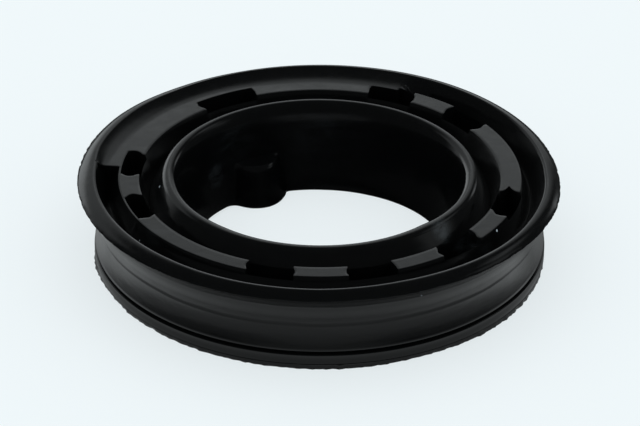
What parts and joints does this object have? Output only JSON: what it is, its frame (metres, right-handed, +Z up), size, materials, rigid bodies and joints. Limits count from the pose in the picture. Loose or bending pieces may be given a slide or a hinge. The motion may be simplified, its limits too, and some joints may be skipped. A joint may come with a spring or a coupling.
{
  "type": "siphon seal",
  "caption": "Round moulded rubber siphon seal with an overhanging outer lip, a ring of pockets in a flat land, a raised inner sealing lip, a tapered bore and a key on the bore wall.",
  "frame": {"origin": "centre of the flat underside, on the axis of the ring", "axes": "+Z up along the axis of the ring, towards the pocketed face; the key on the bore wall stands at 120 degrees counter-clockwise from +X"},
  "size_m": [0.04, 0.04, 0.0076],
  "materials": {
    "rubber": "smooth moulded black rubber with a soft sheen"
  },
  "bodies": {
    "root": {"siphon_seal": "rubber"}
  },
  "joints": []
}
